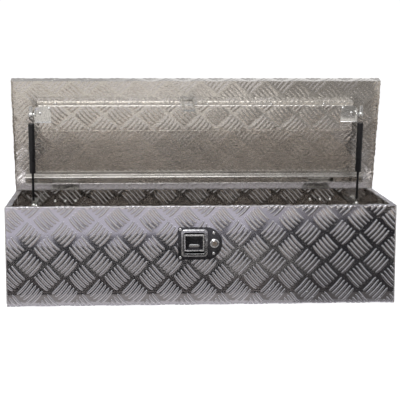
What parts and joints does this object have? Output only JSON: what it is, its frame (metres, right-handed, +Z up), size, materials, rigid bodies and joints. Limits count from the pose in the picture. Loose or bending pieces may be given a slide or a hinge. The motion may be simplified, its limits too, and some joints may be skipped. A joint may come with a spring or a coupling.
{
  "type": "truck tool box",
  "caption": "Long folded tread-plate tool box with a rear-hinged pan lid held open by gas struts, a wire striker and a locking paddle latch.",
  "frame": {"origin": "centre of the box's flat underside", "axes": "+X along the length to the right seen from the latch side, +Y from the latch side to the hinge side, +Z up"},
  "size_m": [1.007, 0.3658, 0.5725],
  "materials": {
    "tread_plate": "bright rolled tread plate, lightly scratched",
    "plain_sheet": "mill-finish folded sheet",
    "zinc_steel": "zinc-plated steel",
    "chrome": "bright plated",
    "dark_stainless": "polished stainless steel",
    "black_enamel": "gloss black",
    "spring_steel": "oiled wire"
  },
  "bodies": {
    "box": {"body_shell": "tread_plate", "left_end_panel": "tread_plate", "right_end_panel": "tread_plate", "left_hinge_body_leaf": "zinc_steel", "right_hinge_body_leaf": "zinc_steel", "left_hinge_pin": "zinc_steel", "right_hinge_pin": "zinc_steel", "left_strut_lower_bracket": "zinc_steel", "right_strut_lower_bracket": "zinc_steel", "latch_plate": "dark_stainless", "latch_frame": "chrome", "latch_dish": "dark_stainless", "latch_rivet_1": "chrome", "latch_rivet_2": "chrome", "latch_rivet_3": "chrome", "latch_rivet_4": "chrome", "latch_housing": "zinc_steel", "claw_pin": "zinc_steel", "claw_spring": "spring_steel", "paddle_spring": "spring_steel", "lock_barrel": "chrome", "lock_nut": "zinc_steel"},
    "lid": {"lid_pan": "tread_plate", "front_stiffener": "plain_sheet", "rear_stiffener": "plain_sheet", "striker_loop": "zinc_steel", "striker_base": "zinc_steel", "left_hinge_lid_leaf": "zinc_steel", "right_hinge_lid_leaf": "zinc_steel", "left_strut_upper_bracket": "zinc_steel", "right_strut_upper_bracket": "zinc_steel", "left_strut_upper_ball": "zinc_steel", "right_strut_upper_ball": "zinc_steel"},
    "paddle": {"paddle": "dark_stainless", "paddle_pin": "zinc_steel", "paddle_crank": "zinc_steel"},
    "release_link": {"release_link": "zinc_steel"},
    "pawl": {"pawl": "zinc_steel", "pawl_shaft": "zinc_steel", "pawl_lever": "zinc_steel"},
    "claw": {"claw": "zinc_steel"},
    "lock_plug": {"lock_plug": "chrome", "lock_cam": "zinc_steel"},
    "left_strut_cylinder": {"left_strut_tube": "black_enamel", "left_strut_gland": "zinc_steel", "left_strut_upper_socket": "zinc_steel"},
    "left_strut_rod": {"left_strut_rod": "black_enamel", "left_strut_lower_socket": "zinc_steel", "left_strut_lower_ball": "zinc_steel"},
    "right_strut_cylinder": {"right_strut_tube": "black_enamel", "right_strut_gland": "zinc_steel", "right_strut_upper_socket": "zinc_steel"},
    "right_strut_rod": {"right_strut_rod": "black_enamel", "right_strut_lower_socket": "zinc_steel", "right_strut_lower_ball": "zinc_steel"}
  },
  "joints": [
    {"name": "lid_hinge", "type": "hinge", "parent": "box", "child": "lid", "pos_m": [0, 0.1698, 0.24], "axis": [1, 0, 0], "range_deg": [0, 75], "stiffness_Nm_per_rad": 4, "springref_deg": -34.38},
    {"name": "left_strut_swing", "type": "hinge", "parent": "lid", "child": "left_strut_cylinder", "pos_m": [-0.45, 0.08345, 0.4734], "axis": [1, 0, 0], "range_deg": [0, 7.32]},
    {"name": "left_strut_slide", "type": "slide", "parent": "left_strut_cylinder", "child": "left_strut_rod", "axis": [0, -0.1419, 0.9899], "range_m": [0, 0.05981]},
    {"name": "right_strut_swing", "type": "hinge", "parent": "lid", "child": "right_strut_cylinder", "pos_m": [0.45, 0.08345, 0.4734], "axis": [1, 0, 0], "range_deg": [0, 7.32]},
    {"name": "right_strut_slide", "type": "slide", "parent": "right_strut_cylinder", "child": "right_strut_rod", "axis": [0, -0.1419, 0.9899], "range_m": [0, 0.05981]},
    {"name": "paddle_pull", "type": "hinge", "parent": "box", "child": "paddle", "pos_m": [-0.021, -0.159, 0.183], "axis": [-1, 0, 0], "range_deg": [0, 35], "stiffness_Nm_per_rad": 0.1, "springref_deg": -17.19},
    {"name": "link_slide", "type": "slide", "parent": "box", "child": "release_link", "axis": [0, 0, -1], "range_m": [0, 0.0058]},
    {"name": "pawl_turn", "type": "hinge", "parent": "box", "child": "pawl", "pos_m": [-0.024, -0.1315, 0.137], "axis": [1, 0, 0], "range_deg": [0, 28.8]},
    {"name": "claw_turn", "type": "hinge", "parent": "box", "child": "claw", "pos_m": [-0.024, -0.1255, 0.16], "axis": [1, 0, 0], "range_deg": [-60, 0], "stiffness_Nm_per_rad": 0.03, "springref_deg": 28.65},
    {"name": "lock_turn", "type": "hinge", "parent": "box", "child": "lock_plug", "pos_m": [0.031, -0.15, 0.163], "axis": [0, 1, 0], "range_deg": [0, 90]}
  ],
  "couplings": [
    {"joint": "left_strut_swing", "follows": "lid_hinge", "ratio": 0.096984},
    {"joint": "left_strut_slide", "follows": "lid_hinge", "m_per_rad": 0.045459},
    {"joint": "right_strut_swing", "follows": "lid_hinge", "ratio": 0.096984},
    {"joint": "right_strut_slide", "follows": "lid_hinge", "m_per_rad": 0.045459},
    {"joint": "link_slide", "follows": "paddle_pull", "m_per_rad": 0.00939},
    {"joint": "pawl_turn", "follows": "paddle_pull", "ratio": 0.81582}
  ]
}
